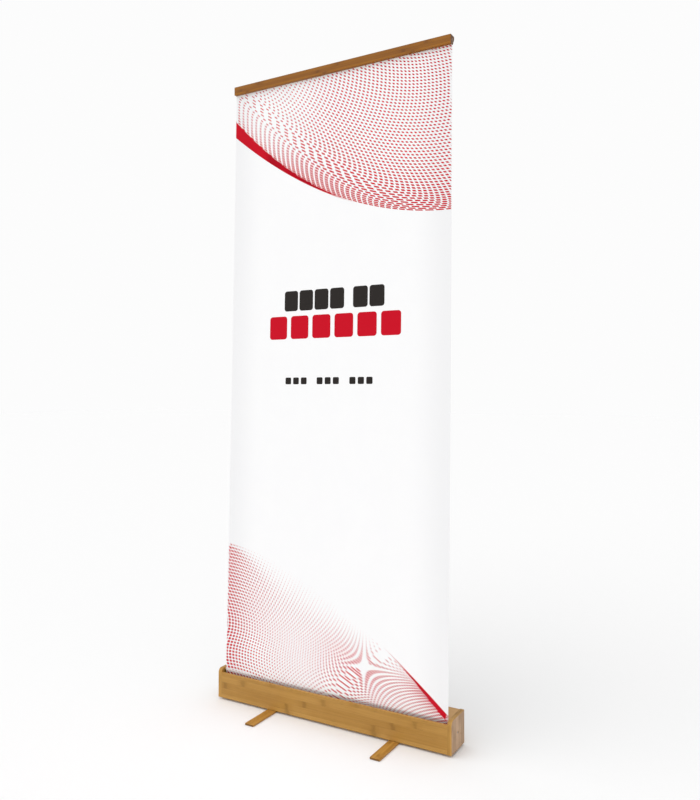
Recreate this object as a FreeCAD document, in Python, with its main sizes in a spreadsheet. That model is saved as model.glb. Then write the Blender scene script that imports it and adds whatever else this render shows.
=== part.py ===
"""Roll-up banner stand with a bamboo cassette, swivelling feet and a telescopic pole.

Frame: millimetres, +X to the right seen from the front, +Y to the back, +Z up.
The origin is on the floor, midway between the feet's ends and under the middle of the cassette.
"""
import FreeCAD, Part, Sketcher
import math
import os

from FreeCAD import Placement, Rotation, Vector

DOC = FreeCAD.newDocument("banner_stand")
SHEET = DOC.addObject("Spreadsheet::Sheet", "dims")

# The driving dimensions, in millimetres and degrees. Heights named *_level are above the floor.
DIMENSIONS = {
    # cassette
    "case_width": 835.0,
    "case_depth": 97.0,
    "case_level": 6.5,
    "board": 8.0,
    "cap": 13.0,
    "cap_height": 94.5,
    "cap_corner": 14.0,
    "front_height": 82.0,
    "cover_level": 99.5,
    "edge_round": 1.2,
    "nose_round": 3.9,
    "slot": 10.5,
    "dowel_radius": 2.0,
    "dowel_length": 18.0,
    "dowel_in_cap": 8.0,
    "dowel_low": 24.0,
    "dowel_high": 60.0,
    "dowel_spread": 24.0,
    "cover_dowel_shift": 8.0,
    # feet
    "foot_length": 332.0,
    "foot_width": 32.0,
    "foot_thick": 5.1,
    "foot_corner": 2.5,
    "foot_edge": 0.8,
    "foot_left_x": -200.0,
    "foot_right_x": 236.0,
    "pad_length": 26.0,
    "pad_width": 24.0,
    "pad_thick": 0.8,
    "pad_inset": 4.0,
    "pivot_radius": 3.0,
    "pivot_length": 11.0,
    "pivot_head": 6.0,
    "pivot_head_thick": 2.4,
    "pivot_recess": 1.8,
    "washer_radius": 9.0,
    "washer_thick": 0.6,
    # roller
    "roller_y": -1.0,
    "roller_level": 55.0,
    "roller_length": 804.0,
    "roller_radius": 15.0,
    "roller_wall": 1.2,
    "roll_radius": 16.5,
    "plug_length": 24.0,
    "plug_flange": 0.9,
    "axle_radius": 4.0,
    "axle_recess": 0.8,
    "axle_slot": 1.4,
    "axle_slot_deep": 1.6,
    "idler_length": 36.0,
    "spring_rod_length": 290.0,
    "spring_radius": 9.5,
    "spring_wire": 1.8,
    "spring_length": 210.0,
    "spring_gap": 12.0,
    "anchor_length": 8.0,
    "anchor_inset": 4.0,
    "lock_screw_y": 21.0,
    "lock_screw_level": 44.0,
    "lock_screw_sunk": 1.0,
    "lock_slot": 0.6,
    "lock_slot_deep": 0.8,
    # banner
    "banner_width": 800.0,
    "banner_thick": 0.4,
    "banner_y": -30.6,
    "banner_level": 95.3,
    "banner_top_y": 15.2,
    "banner_top_level": 2054.0,
    # top rail
    "rail_level": 2045.5,
    "rail_height": 27.5,
    "rail_front": 11.2,
    "rail_gap": 1.2,
    "rail_back": 14.7,
    "rail_foot": 4.0,
    "rail_slant": 20.0,
    "tape_height": 10.0,
    "tape_lift": 1.0,
    "rail_screw_radius": 1.6,
    "rail_screw_head": 3.2,
    "rail_screw_head_deep": 2.0,
    "rail_screw_length": 23.0,
    "rail_screw_drop": 4.0,
    "rail_screw_near": 130.0,
    "rail_screw_far": 340.0,
    # pole
    "pole_y": 30.0,
    "pole_foot_level": 18.5,
    "pole_lower": 8.0,
    "pole_mid": 7.05,
    "pole_top": 6.1,
    "pole_wall": 0.9,
    "pole_lower_level": 740.0,
    "pole_mid_level": 1392.0,
    "pole_top_level": 2036.0,
    "pole_overlap": 60.0,
    "pole_plug": 12.0,
    "pole_plug_rim": 3.0,
    "collar_height": 32.0,
    "collar_wall": 2.6,
    "insert_wall": 1.35,
    "insert_flange": 4.0,
    "insert_lip": 3.0,
    "insert_split": 1.2,
    "flute_radius": 2.0,
    "flute_out": 1.2,
    "flute_start": 3.0,
    "socket_width": 32.0,
    "socket_height": 30.0,
    "grommet_hole": 10.0,
    "grommet_flange": 12.5,
    "grommet_thick": 1.2,
    "hook_radius": 9.0,
    "hook_sleeve": 20.0,
    "hook_roof": 4.0,
    "hook_width": 16.0,
    "hook_neck": 5.8,
    "hook_neck_start": 8.0,
    "hook_height": 10.5,
    "tongue_thick": 4.0,
    "tongue_reach": 10.5,
    # clearances
    "hair": 0.01,
    "running": 0.05,
    "loose": 0.4,
}

FLUTES = 12          # finger flutes round each twist collar
SIDES = (("left", -1), ("right", 1))
ALONG_X = Rotation(Vector(0, 1, 0), 90)
ALONG_Y = Rotation(Vector(1, 0, 0), -90)
UPRIGHT = Rotation()
NODES = []


def fill_sheet():
    for row, (alias, number) in enumerate(DIMENSIONS.items(), start=1):
        SHEET.set(f"A{row}", alias.replace("_", " "))
        SHEET.set(f"B{row}", str(number))
        SHEET.setAlias(f"B{row}", alias)
    DOC.recompute()


def size(alias):
    """The sheet's number under an alias, for shapes that part.py works out itself."""
    return float(getattr(SHEET, alias))


def bind(thing, **expressions):
    """Binds properties to formulas on the sheet; a word in a formula is an alias."""
    for name, formula in expressions.items():
        thing.setExpression(name, formula)


def place(thing, at, turn=UPRIGHT):
    """Puts an object at three formulas, turned by a rotation."""
    thing.Placement = Placement(Vector(0, 0, 0), turn)
    for axis, formula in zip("xyz", at):
        thing.setExpression(f"Placement.Base.{axis}", formula)
    return thing


def node(thing, name):
    """Keeps a finished sub-part under the name of its own file."""
    thing.Label = name
    NODES.append(thing)
    return thing


# ---- building blocks ----

def block(name, sides, at):
    thing = DOC.addObject("Part::Box", name)
    bind(thing, Length=sides[0], Width=sides[1], Height=sides[2])
    return place(thing, at)


def rod(name, radius, length, at, turn=UPRIGHT):
    thing = DOC.addObject("Part::Cylinder", name)
    bind(thing, Radius=radius, Height=length)
    return place(thing, at, turn)


def cone(name, radius_start, radius_end, length, at, turn=UPRIGHT):
    thing = DOC.addObject("Part::Cone", name)
    bind(thing, Radius1=radius_start, Radius2=radius_end, Height=length)
    return place(thing, at, turn)


def cut(name, base, tool):
    """A boolean cut that has to take something away."""
    thing = DOC.addObject("Part::Cut", name)
    thing.Base, thing.Tool = base, tool
    DOC.recompute()
    if thing.Shape.Volume > base.Shape.Volume - 1e-3:
        raise RuntimeError(f"{name}: the cut took nothing away")
    return thing


def fuse(name, *things):
    thing = DOC.addObject("Part::MultiFuse", name)
    thing.Shapes = list(things)
    return thing


def group(name, things):
    """Several loose solids that share one node."""
    thing = DOC.addObject("Part::Compound", name)
    thing.Links = list(things)
    return thing


def ring(name, outer, inner, length, at, turn=UPRIGHT):
    solid = rod(f"{name}_outside", outer, length, at, turn)
    bore = rod(f"{name}_bore", inner, length, at, turn)
    return cut(name, solid, bore)


def datum_plane(body, role):
    for feature in body.Origin.OriginFeatures:
        if feature.Role == role:
            return feature
    raise RuntimeError(f"{body.Name} has no {role}")


def bar(name, role, wide, high, length):
    """A body padded from a rectangle that starts at its own origin, along the plane's normal."""
    body = DOC.addObject("PartDesign::Body", name)
    sketch = body.newObject("Sketcher::SketchObject", f"{name}_section")
    sketch.AttachmentSupport = (datum_plane(body, role), [""])
    sketch.MapMode = "FlatFace"
    corners = [Vector(0, 0, 0), Vector(10, 0, 0), Vector(10, 10, 0), Vector(0, 10, 0)]
    for start, end in zip(corners, corners[1:] + corners[:1]):
        sketch.addGeometry(Part.LineSegment(start, end), False)
    fix_rectangle(sketch, wide, high)
    pad = body.newObject("PartDesign::Pad", f"{name}_pad")
    pad.Profile = sketch
    bind(pad, Length=length)
    DOC.recompute()
    return body, pad


def fix_rectangle(sketch, wide, high):
    """Ties four lines into a rectangle on the origin, with its two sides bound to formulas."""
    for line in range(4):
        sketch.addConstraint(Sketcher.Constraint("Coincident", line, 2, (line + 1) % 4, 1))
        direction = "Horizontal" if line % 2 == 0 else "Vertical"
        sketch.addConstraint(Sketcher.Constraint(direction, line))
    sketch.addConstraint(Sketcher.Constraint("Coincident", 0, 1, -1, 1))
    for kind, line, label, formula in (("DistanceX", 0, "wide", wide), ("DistanceY", 1, "high", high)):
        index = sketch.addConstraint(Sketcher.Constraint(kind, line, 1, line, 2, 10.0))
        sketch.renameConstraint(index, label)
        sketch.setExpression(f"Constraints.{label}", formula)


def round_edges(body, base, name, radius, wanted):
    """Rounds the edges of a feature whose middle point passes a test."""
    names = [
        f"Edge{number}"
        for number, edge in enumerate(base.Shape.Edges, start=1)
        if wanted(edge.CenterOfMass)
    ]
    if not names:
        raise RuntimeError(f"{name}: no edge to round")
    fillet = body.newObject("PartDesign::Fillet", name)
    fillet.Base = (base, names)
    bind(fillet, Radius=radius)
    DOC.recompute()
    return fillet


def near(value, target):
    return abs(value - target) < 0.01


# ---- cassette ----

FRONT = "-dims.case_depth / 2"
INNER_FRONT = "-dims.case_depth / 2 + dims.board"
INNER_WIDTH = "dims.case_width - 2 * dims.cap"
INNER_LEFT = "-dims.case_width / 2 + dims.cap"
COVER_UNDER = "dims.cover_level - dims.board"


def dowels():
    """Glued dowels that pin every board's end to its cap, two to a joint."""
    half_board = "dims.board / 2"
    seats = []
    for height in ("dims.dowel_low", "dims.dowel_high"):
        seats.append((f"{FRONT} + {half_board}", f"dims.case_level + {height}"))
        seats.append((f"dims.case_depth / 2 - {half_board}", f"dims.case_level + {height}"))
    for depth in ("-dims.dowel_spread", "dims.dowel_spread"):
        seats.append((depth, f"dims.case_level + {half_board}"))
        seats.append((f"{depth} + dims.cover_dowel_shift", f"{COVER_UNDER} + {half_board}"))
    pegs = []
    for side, sign in SIDES:
        start = "-dims.case_width / 2 + dims.cap - dims.dowel_in_cap"
        if sign > 0:
            start = "dims.case_width / 2 - dims.cap + dims.dowel_in_cap - dims.dowel_length"
        for number, (depth, height) in enumerate(seats):
            peg_at = (start, depth, height)
            peg = rod(f"dowel_{side}_{number}", "dims.dowel_radius", "dims.dowel_length", peg_at, ALONG_X)
            pegs.append(peg)
    return node(group("cap_dowels", pegs), "cap_dowels")


def board_between_caps(name, deep, high, depth_at, height_at, soft_edges, radius="dims.edge_round"):
    """A board from cap to cap, with the named long edges rounded."""
    body, pad = bar(f"{name}_blank", "YZ_Plane", deep, high, INNER_WIDTH)
    box = pad.Shape.BoundBox
    reach = {"front": (1, 0), "back": (1, box.YMax), "low": (2, 0), "high": (2, box.ZMax)}

    def wanted(point):
        for first, second in soft_edges:
            one, two = reach[first], reach[second]
            along_x = near(point.x, box.XMax / 2)
            if along_x and near(point[one[0]], one[1]) and near(point[two[0]], two[1]):
                return True
        return False

    round_edges(body, pad, f"{name}_edges", radius, wanted)
    return place(body, (INNER_LEFT, depth_at, height_at))


def cassette_boards(pegs):
    front = board_between_caps(
        "front", "dims.board", "dims.front_height", FRONT, "dims.case_level",
        (("front", "high"), ("back", "high"), ("front", "low")),
    )
    node(cut("front_board", front, pegs), "front_board")
    back = board_between_caps(
        "back", "dims.board", f"{COVER_UNDER} - dims.case_level", "dims.case_depth / 2 - dims.board",
        "dims.case_level", (("back", "low"),),
    )
    node(cut("back_board", back, pegs), "back_board")
    cover_front = f"{INNER_FRONT} + dims.slot"
    cover = board_between_caps(
        "cover", f"dims.case_depth / 2 - ({cover_front})", "dims.board", cover_front, COVER_UNDER,
        (("front", "low"), ("front", "high")), "dims.nose_round",
    )
    pole_hole = rod("pole_hole", "dims.grommet_hole", "3 * dims.board",
                    ("0", "dims.pole_y", f"{COVER_UNDER} - dims.board"))
    node(cut("top_cover", cut("cover_with_hole", cover, pole_hole), pegs), "top_cover")


def bottom_board(pegs):
    deep = "dims.case_depth - 2 * dims.board"
    body, _ = bar("bottom_blank", "YZ_Plane", deep, "dims.board", INNER_WIDTH)
    place(body, (INNER_LEFT, INNER_FRONT, "dims.case_level"))
    pilots = [
        rod(f"pilot_{side}", "dims.pivot_radius", "dims.board", (f"dims.foot_{side}_x", "0", "dims.case_level"))
        for side, _ in SIDES
    ]
    board = cut("bottom_with_pilots", body, group("pilots", pilots))
    node(cut("bottom_board", board, pegs), "bottom_board")


def end_cap(side, sign, pegs):
    """A cap with a rounded front top corner, soft edges outside, and a bore for the axle."""
    name = f"end_cap_{side}"
    body, pad = bar(f"{name}_blank", "YZ_Plane", "dims.case_depth", "dims.cap_height", "dims.cap")
    top, outside = size("cap_height"), size("cap") if sign > 0 else 0.0
    corner = round_edges(body, pad, f"{name}_corner", "dims.cap_corner",
                         lambda point: near(point.y, 0) and near(point.z, top))
    round_edges(body, corner, f"{name}_edges", "dims.edge_round", lambda point: near(point.x, outside))
    inner_face = "dims.case_width / 2 - dims.cap"
    place(body, (inner_face if sign > 0 else "-dims.case_width / 2", FRONT, "dims.case_level"))
    bore = rod(f"{name}_bore", "dims.axle_radius", "dims.case_width",
               ("-dims.case_width", "dims.roller_y", "dims.roller_level"), ALONG_X)
    if sign > 0:
        place(bore, ("1", "dims.roller_y", "dims.roller_level"), ALONG_X)
    bored = cut(f"{name}_bored", body, bore)
    if sign > 0:
        bored = cut(f"{name}_tapped", bored, lock_screw_hole())
    node(cut(name, bored, pegs), name)


def lock_screw_hole():
    return rod("lock_screw_hole", "dims.axle_radius / 2", "dims.cap",
               ("dims.case_width / 2 - dims.cap", "dims.lock_screw_y", "dims.lock_screw_level"), ALONG_X)


def lock_screw():
    """The small grub screw beside the axle, with a slot across its end."""
    shank = rod("lock_screw_shank", "dims.axle_radius / 2", "dims.cap - dims.lock_screw_sunk",
                ("dims.case_width / 2 - dims.cap", "dims.lock_screw_y", "dims.lock_screw_level"), ALONG_X)
    slot_start = "dims.case_width / 2 - dims.lock_screw_sunk - dims.lock_slot_deep"
    slot = block("lock_screw_slot", ("dims.cap", "dims.axle_radius", "dims.lock_slot"),
                 (slot_start, "dims.lock_screw_y - dims.axle_radius / 2",
                  "dims.lock_screw_level - dims.lock_slot / 2"))
    node(cut("lock_screw", shank, slot), "lock_screw")


# ---- feet ----

def foot(side):
    """A flat bamboo strip that turns on its pivot screw, countersunk from below."""
    name = f"foot_{side}"
    body, pad = bar(f"{name}_blank", "XY_Plane", "dims.foot_width", "dims.foot_length", "dims.foot_thick")
    half = size("foot_thick") / 2
    corners = round_edges(body, pad, f"{name}_corners", "dims.foot_corner", lambda point: near(point.z, half))
    top = size("foot_thick")
    round_edges(body, corners, f"{name}_edges", "dims.foot_edge", lambda point: near(point.z, top))
    at_x, under = f"dims.foot_{side}_x", "dims.pad_thick"
    place(body, (f"{at_x} - dims.foot_width / 2", "-dims.foot_length / 2", under))
    hole = rod(f"{name}_hole", "dims.pivot_radius + dims.running", "dims.foot_thick", (at_x, "0", under))
    sink = cone(f"{name}_sink", "dims.pivot_head + dims.loose", "dims.pivot_radius + dims.running",
                "dims.pivot_head_thick + dims.loose", (at_x, "0", under))
    node(cut(name, body, fuse(f"{name}_opening", hole, sink)), name)
    inset = "dims.foot_length / 2 - dims.pad_inset"
    pads = [
        block(f"{name}_pad_{end}", ("dims.pad_width", "dims.pad_length", "dims.pad_thick"),
              (f"{at_x} - dims.pad_width / 2", start, "0"))
        for end, start in (("front", f"-({inset})"), ("back", f"{inset} - dims.pad_length"))
    ]
    node(group(f"{name}_pads", pads), f"{name}_pads")


def foot_pivots():
    """Each pivot screw goes up through its foot and a washer into the bottom board."""
    screws, washers = [], []
    for side, _ in SIDES:
        at_x, under = f"dims.foot_{side}_x", "dims.pad_thick"
        shank = rod(f"pivot_shank_{side}", "dims.pivot_radius", "dims.pivot_length", (at_x, "0", under))
        head = cone(f"pivot_head_{side}", "dims.pivot_head", "dims.pivot_radius",
                    "dims.pivot_head_thick", (at_x, "0", under))
        solid = fuse(f"pivot_screw_{side}", shank, head)
        recess = rod(f"pivot_recess_{side}", "dims.pivot_recess", "dims.pivot_head_thick / 2",
                     (at_x, "0", under))
        screws.append(cut(f"pivot_{side}", solid, recess))
        washers.append(ring(f"washer_{side}", "dims.washer_radius", "dims.pivot_radius + dims.running",
                            "dims.washer_thick", (at_x, "0", "dims.case_level - dims.washer_thick")))
    node(group("foot_screws", screws), "foot_screws")
    node(group("foot_washers", washers), "foot_washers")


# ---- roller ----

def on_roller(start):
    return (start, "dims.roller_y", "dims.roller_level")


def roller():
    """The tube, its plugs and the banner wound round it, turning on two fixed axles."""
    length = "dims.roller_length"
    start = "-dims.roller_length / 2"
    inside = "dims.roller_radius - dims.roller_wall"
    tube = ring("tube", "dims.roller_radius", inside, length, on_roller(start), ALONG_X)
    node(tube, "roller_tube")
    roll = ring("roll", "dims.roll_radius", "dims.roller_radius", "dims.banner_width",
                on_roller("-dims.banner_width / 2"), ALONG_X)
    node(roll, "banner_roll")
    for side, sign in SIDES:
        end = f"{'-' if sign < 0 else ''}dims.roller_length / 2"
        back = "" if sign < 0 else " - dims.plug_length"
        out = " - dims.plug_flange" if sign < 0 else ""
        body = rod(f"plug_{side}_body", inside, "dims.plug_length", on_roller(f"{end}{back}"), ALONG_X)
        flange = rod(f"plug_{side}_flange", "dims.roller_radius", "dims.plug_flange",
                     on_roller(f"{end}{out}"), ALONG_X)
        bore = rod(f"plug_{side}_bore", "dims.axle_radius + dims.running", "2 * dims.plug_length",
                   on_roller(f"{end} - dims.plug_length"), ALONG_X)
        plug = cut(f"plug_{side}", fuse(f"plug_{side}_solid", body, flange), bore)
        node(plug, f"roller_plug_{side}")
    anchor_start = "dims.case_width / 2 - dims.spring_rod_length + dims.anchor_inset"
    anchor = ring("anchor", inside, "dims.axle_radius + dims.running", "dims.anchor_length",
                  on_roller(anchor_start), ALONG_X)
    node(anchor, "spring_anchor")


def axles():
    """The idler pin on the left, and on the right the long rod that the torsion spring winds on."""
    idler = rod("idler_rod", "dims.axle_radius", "dims.idler_length",
                on_roller("-dims.case_width / 2 + dims.axle_recess"), ALONG_X)
    node(idler, "idler_axle")
    rod_start = "dims.case_width / 2 - dims.axle_recess - dims.spring_rod_length"
    long_rod = rod("spring_rod", "dims.axle_radius", "dims.spring_rod_length", on_roller(rod_start), ALONG_X)
    slot = block("axle_slot", ("dims.axle_slot_deep", "2 * dims.axle_radius", "dims.axle_slot"),
                 ("dims.case_width / 2 - dims.axle_recess - dims.axle_slot_deep",
                  "dims.roller_y - dims.axle_radius", "dims.roller_level - dims.axle_slot / 2"))
    node(cut("spring_axle", long_rod, slot), "spring_axle")
    spring_start = ("dims.case_width / 2 - dims.cap - dims.plug_length"
                    " - dims.spring_length - dims.spring_gap")
    spring = ring("spring", "dims.spring_radius", "dims.spring_radius - dims.spring_wire",
                  "dims.spring_length", on_roller(spring_start), ALONG_X)
    node(spring, "torsion_spring")


# ---- banner ----

def leaning_sheet(name, low, high):
    """A flat strip as wide as the banner, between two points given as (y, z)."""
    rise = math.hypot(high[0] - low[0], high[1] - low[1])
    lean = math.degrees(math.atan2(high[0] - low[0], high[1] - low[1]))
    sheet = DOC.addObject("Part::Box", name)
    bind(sheet, Length="dims.banner_width", Width="dims.banner_thick")
    sheet.Height = rise
    tilt = Rotation(Vector(1, 0, 0), -lean)
    corner = tilt.multVec(Vector(-size("banner_width") / 2, -size("banner_thick") / 2, 0))
    sheet.Placement = Placement(Vector(0, low[0], low[1]) + corner, tilt)
    return sheet


def banner():
    """The sheet from slot to rail, and the short run from the roll up to the slot."""
    slot = (size("banner_y"), size("banner_level"))
    rail = (size("banner_top_y"), size("banner_top_level"))
    node(leaning_sheet("sheet", slot, rail), "banner_sheet")
    centre = (size("roller_y"), size("roller_level"))
    clear = size("roll_radius") + size("banner_thick") / 2 + size("loose")
    away = math.hypot(centre[0] - slot[0], centre[1] - slot[1])
    towards = math.atan2(centre[1] - slot[1], centre[0] - slot[0]) - math.asin(clear / away)
    run = math.sqrt(away ** 2 - clear ** 2)
    touch = (slot[0] + run * math.cos(towards), slot[1] + run * math.sin(towards))
    below_slot = (slot[0], slot[1] - size("loose"))
    node(leaning_sheet("leader", touch, below_slot), "banner_leader")


# ---- top rail ----

RAIL_BACK = "dims.banner_top_y + dims.rail_gap / 2"
RAIL_TOP = "dims.rail_level + dims.rail_height"
RAIL_REAR = f"{RAIL_BACK} + dims.rail_back"
SCREW_LEVEL = f"{RAIL_TOP} - dims.rail_screw_drop"
HOOK_LEVEL = "dims.rail_level + dims.hook_height"


def rail_screws():
    """Countersunk wood screws from the back that pull the two strips together."""
    screws = []
    for number, place_x in enumerate(("-dims.rail_screw_far", "-dims.rail_screw_near",
                                      "dims.rail_screw_near", "dims.rail_screw_far")):
        shank_start = f"{RAIL_REAR} - dims.rail_screw_length"
        shank = rod(f"rail_shank_{number}", "dims.rail_screw_radius", "dims.rail_screw_length",
                    (place_x, shank_start, SCREW_LEVEL), ALONG_Y)
        head = cone(f"rail_head_{number}", "dims.rail_screw_radius", "dims.rail_screw_head",
                    "dims.rail_screw_head_deep",
                    (place_x, f"{RAIL_REAR} - dims.rail_screw_head_deep", SCREW_LEVEL), ALONG_Y)
        screws.append(fuse(f"rail_screw_{number}", shank, head))
    return group("rail_screws", screws)


def rail_back_blank():
    """The back strip, with its lower back edge planed to a slope that fingers can hold."""
    body, pad = bar("rail_back_bar", "YZ_Plane", "dims.rail_back", "dims.rail_height", "dims.banner_width")
    chamfer = body.newObject("PartDesign::Chamfer", "rail_slope")
    deep, middle = size("rail_back"), size("banner_width") / 2
    edge = next(
        f"Edge{number}"
        for number, line in enumerate(pad.Shape.Edges, start=1)
        if near(line.CenterOfMass.x, middle) and near(line.CenterOfMass.y, deep)
        and near(line.CenterOfMass.z, 0)
    )
    chamfer.Base = (pad, [edge])
    chamfer.ChamferType = "Two distances"
    bind(chamfer, Size="dims.rail_back - dims.rail_foot", Size2="dims.rail_slant")
    DOC.recompute()
    box = chamfer.Shape.BoundBox
    if not near_section(chamfer.Shape, 0, size("rail_foot")):
        bind(chamfer, Size="dims.rail_slant", Size2="dims.rail_back - dims.rail_foot")
        DOC.recompute()
    round_edges(body, chamfer, "rail_back_edges", "dims.edge_round",
                lambda point: near(point.x, middle) and near(point.z, box.ZMax) and near(point.y, deep))
    return place(body, ("-dims.banner_width / 2", RAIL_BACK, "dims.rail_level"))


def near_section(shape, height, deep):
    """Whether the face at a height reaches as far back as it should."""
    flat = [face for face in shape.Faces if near(face.CenterOfMass.z, height)]
    return bool(flat) and near(flat[0].BoundBox.YMax, deep)


def rail():
    screws = rail_screws()
    front_y = "dims.banner_top_y - dims.rail_gap / 2 - dims.rail_front"
    body, pad = bar("rail_front_bar", "YZ_Plane", "dims.rail_front", "dims.rail_height", "dims.banner_width")
    middle = size("banner_width") / 2
    round_edges(body, pad, "rail_front_edges", "dims.edge_round",
                lambda point: near(point.x, middle) and near(point.y, 0))
    place(body, ("-dims.banner_width / 2", front_y, "dims.rail_level"))
    node(cut("rail_front_strip", body, screws), "rail_front_strip")
    groove = block("hook_groove",
                   ("dims.hook_width + 2 * dims.loose", "dims.rail_back", "dims.tongue_thick + dims.loose"),
                   ("-dims.hook_width / 2 - dims.loose", f"{RAIL_BACK} + dims.rail_foot", HOOK_LEVEL))
    grooved = cut("rail_back_grooved", rail_back_blank(), groove)
    node(cut("rail_back_strip", grooved, screws), "rail_back_strip")
    node(screws, "rail_screws")
    tape = block("tape", ("dims.banner_width", "dims.rail_gap", "dims.tape_height"),
                 ("-dims.banner_width / 2", "dims.banner_top_y - dims.rail_gap / 2",
                  "dims.banner_top_level + dims.tape_lift"))
    node(tape, "rail_tape")


# ---- pole ----

def on_pole(level):
    return ("0", "dims.pole_y", level)


def pole_socket():
    """The block that the pole's foot stands in, and the grommet where it passes the cover."""
    back = "dims.case_depth / 2 - dims.board"
    deep = f"2 * ({back} - dims.pole_y)"
    base_level = "dims.case_level + dims.board"
    solid = block("socket_block", ("dims.socket_width", deep, "dims.socket_height"),
                  ("-dims.socket_width / 2", f"{back} - {deep}", base_level))
    bore = rod("socket_bore", "dims.pole_lower + dims.running", "dims.socket_height",
               on_pole("dims.pole_foot_level"))
    node(cut("socket", solid, bore), "pole_socket")
    barrel = rod("grommet_barrel", "dims.grommet_hole", "dims.board", on_pole(COVER_UNDER))
    flange = rod("grommet_flange", "dims.grommet_flange", "dims.grommet_thick", on_pole("dims.cover_level"))
    passage = rod("grommet_bore", "dims.pole_lower + dims.running", "3 * dims.board",
                  on_pole(f"{COVER_UNDER} - dims.board"))
    node(cut("grommet", fuse("grommet_solid", barrel, flange), passage), "pole_grommet")


def pole_tube(name, radius, low, high):
    tube = ring(f"{name}_tube", radius, f"{radius} - dims.pole_wall", f"{high} - ({low})", on_pole(low))
    node(tube, f"pole_{name}_tube")


def end_plug(name, radius, level):
    """A plug in a tube's lower end, with a rim as wide as the tube below it."""
    body = rod(f"{name}_plug_body", f"{radius} - dims.pole_wall", "dims.pole_plug", on_pole(level))
    rim = rod(f"{name}_plug_rim", radius, "dims.pole_plug_rim", on_pole(f"{level} - dims.pole_plug_rim"))
    node(fuse(f"{name}_plug", body, rim), f"pole_{name}_plug")


def twist_lock(name, tube, inner_tube, top):
    """A split insert fixed on the tube's mouth, and the fluted collar that clamps it."""
    insert_radius = f"{tube} + dims.insert_wall"
    bottom = f"{top} + dims.insert_lip - dims.collar_height"
    sleeve = rod(f"{name}_sleeve", insert_radius, "dims.collar_height", on_pole(bottom))
    flange = rod(f"{name}_flange", f"{insert_radius} + dims.insert_wall", "dims.insert_flange",
                 on_pole(f"{bottom} - dims.insert_flange"))
    seat = rod(f"{name}_seat", tube, "dims.collar_height - dims.insert_lip + dims.insert_flange",
               on_pole(f"{bottom} - dims.insert_flange"))
    mouth = rod(f"{name}_mouth", f"{inner_tube} + dims.running", "2 * dims.collar_height", on_pole(bottom))
    split = block(f"{name}_split", ("2 * dims.hook_radius", "dims.insert_split", "2 * dims.insert_lip"),
                  ("0", "dims.pole_y - dims.insert_split / 2", f"{top} + dims.hair"))
    openings = fuse(f"{name}_openings", seat, mouth, split)
    node(cut(f"{name}_insert", fuse(f"{name}_solid", sleeve, flange), openings), f"{name}_lock_insert")
    collar_low = f"{bottom} + dims.loose"
    collar = ring(f"{name}_ring", f"{insert_radius} + dims.collar_wall", f"{insert_radius} + dims.running",
                  "dims.collar_height - dims.loose", on_pole(collar_low))
    flutes = []
    for number in range(FLUTES):
        angle = 360.0 * number / FLUTES
        reach = f"({insert_radius} + dims.collar_wall + dims.flute_out)"
        at = (f"{reach} * cos({angle} deg)", f"dims.pole_y + {reach} * sin({angle} deg)",
              f"{collar_low} + dims.flute_start")
        flutes.append(rod(f"{name}_flute_{number}", "dims.flute_radius", "dims.collar_height", at))
    node(cut(f"{name}_collar", collar, group(f"{name}_flutes", flutes)), f"{name}_lock_collar")


def hook_cap():
    """The cap on the pole's top, whose neck and tongue carry the rail from behind."""
    under = "dims.pole_top_level + dims.hook_roof - dims.hook_sleeve"
    sleeve = rod("cap_sleeve", "dims.hook_radius", "dims.hook_sleeve", on_pole(under))
    neck_y = f"{RAIL_REAR} + dims.loose"
    neck_level = f"{under} + dims.hook_neck_start"
    neck_height = f"{HOOK_LEVEL} + dims.tongue_thick - ({neck_level})"
    neck = block("cap_neck", ("dims.hook_width", "dims.hook_neck", neck_height),
                 ("-dims.hook_width / 2", neck_y, neck_level))
    tongue = block("cap_tongue", ("dims.hook_width", "dims.tongue_reach + dims.hook_neck", "dims.tongue_thick"),
                   ("-dims.hook_width / 2", f"{neck_y} - dims.tongue_reach", HOOK_LEVEL))
    bore = rod("cap_bore", "dims.pole_top", "dims.hook_sleeve - dims.hook_roof", on_pole(under))
    node(cut("cap", fuse("cap_solid", sleeve, neck, tongue), bore), "pole_hook_cap")


def pole():
    pole_socket()
    lower_top, mid_top, top_top = "dims.pole_lower_level", "dims.pole_mid_level", "dims.pole_top_level"
    mid_low = f"{lower_top} - dims.pole_overlap"
    top_low = f"{mid_top} - dims.pole_overlap"
    pole_tube("lower", "dims.pole_lower", "dims.pole_foot_level", lower_top)
    pole_tube("mid", "dims.pole_mid", mid_low, mid_top)
    pole_tube("top", "dims.pole_top", top_low, top_top)
    end_plug("mid", "dims.pole_mid", mid_low)
    end_plug("top", "dims.pole_top", top_low)
    twist_lock("lower", "dims.pole_lower", "dims.pole_mid", lower_top)
    twist_lock("upper", "dims.pole_mid", "dims.pole_top", mid_top)
    hook_cap()


def check_document():
    """Stops before anything is written if an object failed or a sub-part isn't a sound solid."""
    DOC.recompute()
    for thing in DOC.Objects:
        if {"Invalid", "Error"} & set(thing.State):
            raise RuntimeError(f"{thing.Label}: {thing.State}")
    for thing in NODES:
        shape = thing.Shape
        if shape.isNull() or not shape.isValid() or not shape.Solids:
            raise RuntimeError(f"{thing.Label}: not a valid solid")


def write_steps():
    os.makedirs("parts", exist_ok=True)
    for thing in NODES:
        thing.Shape.exportStep(f"parts/{thing.Label}.step")
        box = thing.Shape.BoundBox
        print(f"{thing.Label:22s} solids {len(thing.Shape.Solids):2d}  volume {thing.Shape.Volume:12.1f}"
              f"  x {box.XMin:8.1f} {box.XMax:8.1f}  y {box.YMin:7.1f} {box.YMax:7.1f}"
              f"  z {box.ZMin:7.1f} {box.ZMax:7.1f}")


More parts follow.
